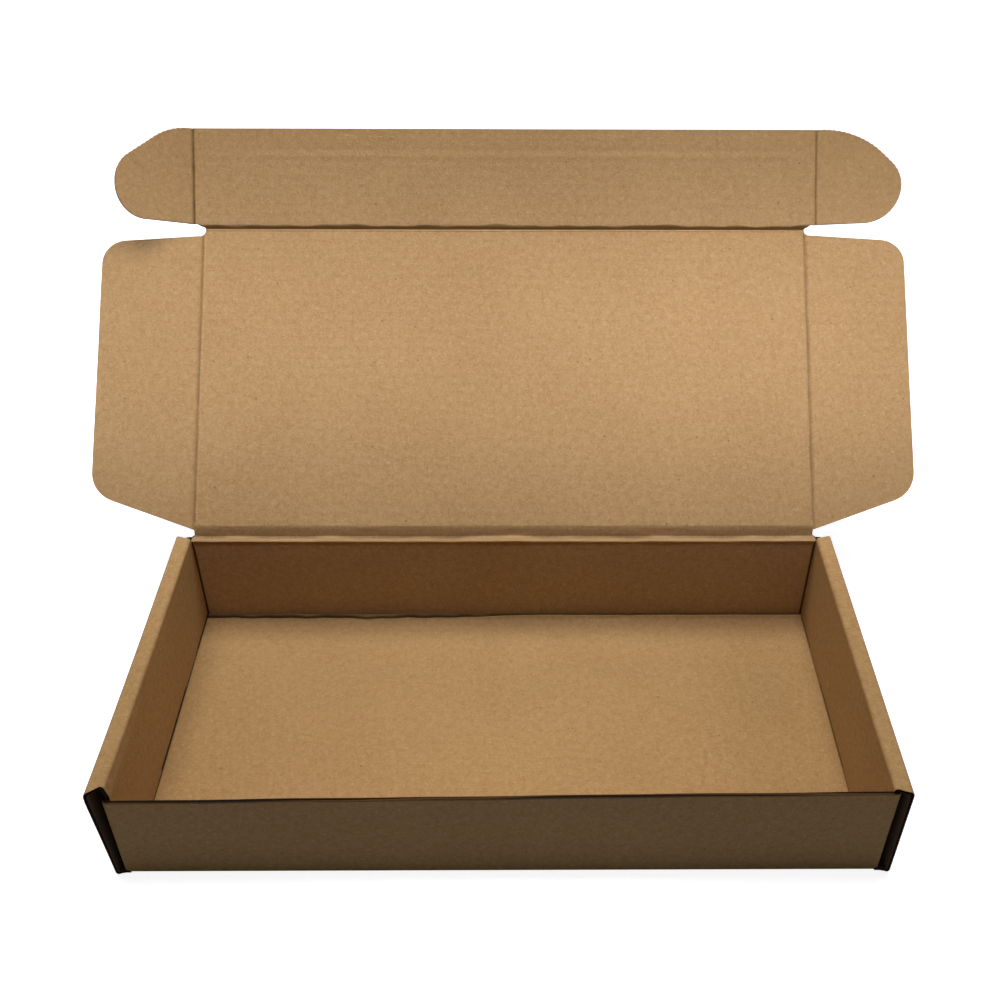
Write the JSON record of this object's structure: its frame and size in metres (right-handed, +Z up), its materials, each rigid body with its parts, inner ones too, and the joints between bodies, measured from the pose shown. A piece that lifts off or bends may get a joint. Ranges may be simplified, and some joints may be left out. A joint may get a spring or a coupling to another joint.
{
  "type": "cardboard mailer box",
  "caption": "Shallow die-cut mailer box of corrugated kraft board with rolled side walls, standing open: hinged lid with dust flaps, tuck panel and rounded locking ears.",
  "frame": {"origin": "centre of the base underside, on the surface that the box stands on", "axes": "+Z up, -Y towards the front wall, +X to the right as seen from the front"},
  "size_m": [0.3008, 0.222, 0.1532],
  "materials": {
    "kraft_board": "matte uncoated kraft liner"
  },
  "bodies": {
    "tray": {"tray": "kraft_board"},
    "lid": {"lid_panel": "kraft_board"},
    "left_dust_flap": {"left_dust_flap": "kraft_board"},
    "right_dust_flap": {"right_dust_flap": "kraft_board"},
    "tuck_panel": {"tuck_panel": "kraft_board"},
    "left_ear": {"left_locking_ear": "kraft_board"},
    "right_ear": {"right_locking_ear": "kraft_board"}
  },
  "joints": [
    {"name": "lid_hinge", "type": "hinge", "parent": "tray", "child": "lid", "pos_m": [0, 0.05754, 0.04061], "axis": [1, 0, 0], "range_deg": [-43.8, 136.2]},
    {"name": "left_dust_fold", "type": "hinge", "parent": "lid", "child": "left_dust_flap", "pos_m": [-0.1125, 0.05684, 0.04134], "axis": [0, 0.7218, 0.6921], "range_deg": [-12, 90]},
    {"name": "right_dust_fold", "type": "hinge", "parent": "lid", "child": "right_dust_flap", "pos_m": [0.1125, 0.05684, 0.04134], "axis": [0, -0.7218, -0.6921], "range_deg": [-12, 90]},
    {"name": "tuck_fold", "type": "hinge", "parent": "lid", "child": "tuck_panel", "pos_m": [0, 0.14024, 0.12131], "axis": [1, 0, 0], "range_deg": [-20, 80]},
    {"name": "left_ear_fold", "type": "hinge", "parent": "tuck_panel", "child": "left_ear", "pos_m": [-0.117, 0.14024, 0.12131], "axis": [0, 0.5906, 0.807], "range_deg": [-38, 62]},
    {"name": "right_ear_fold", "type": "hinge", "parent": "tuck_panel", "child": "right_ear", "pos_m": [0.117, 0.14024, 0.12131], "axis": [0, -0.5906, -0.807], "range_deg": [-20, 80]}
  ]
}
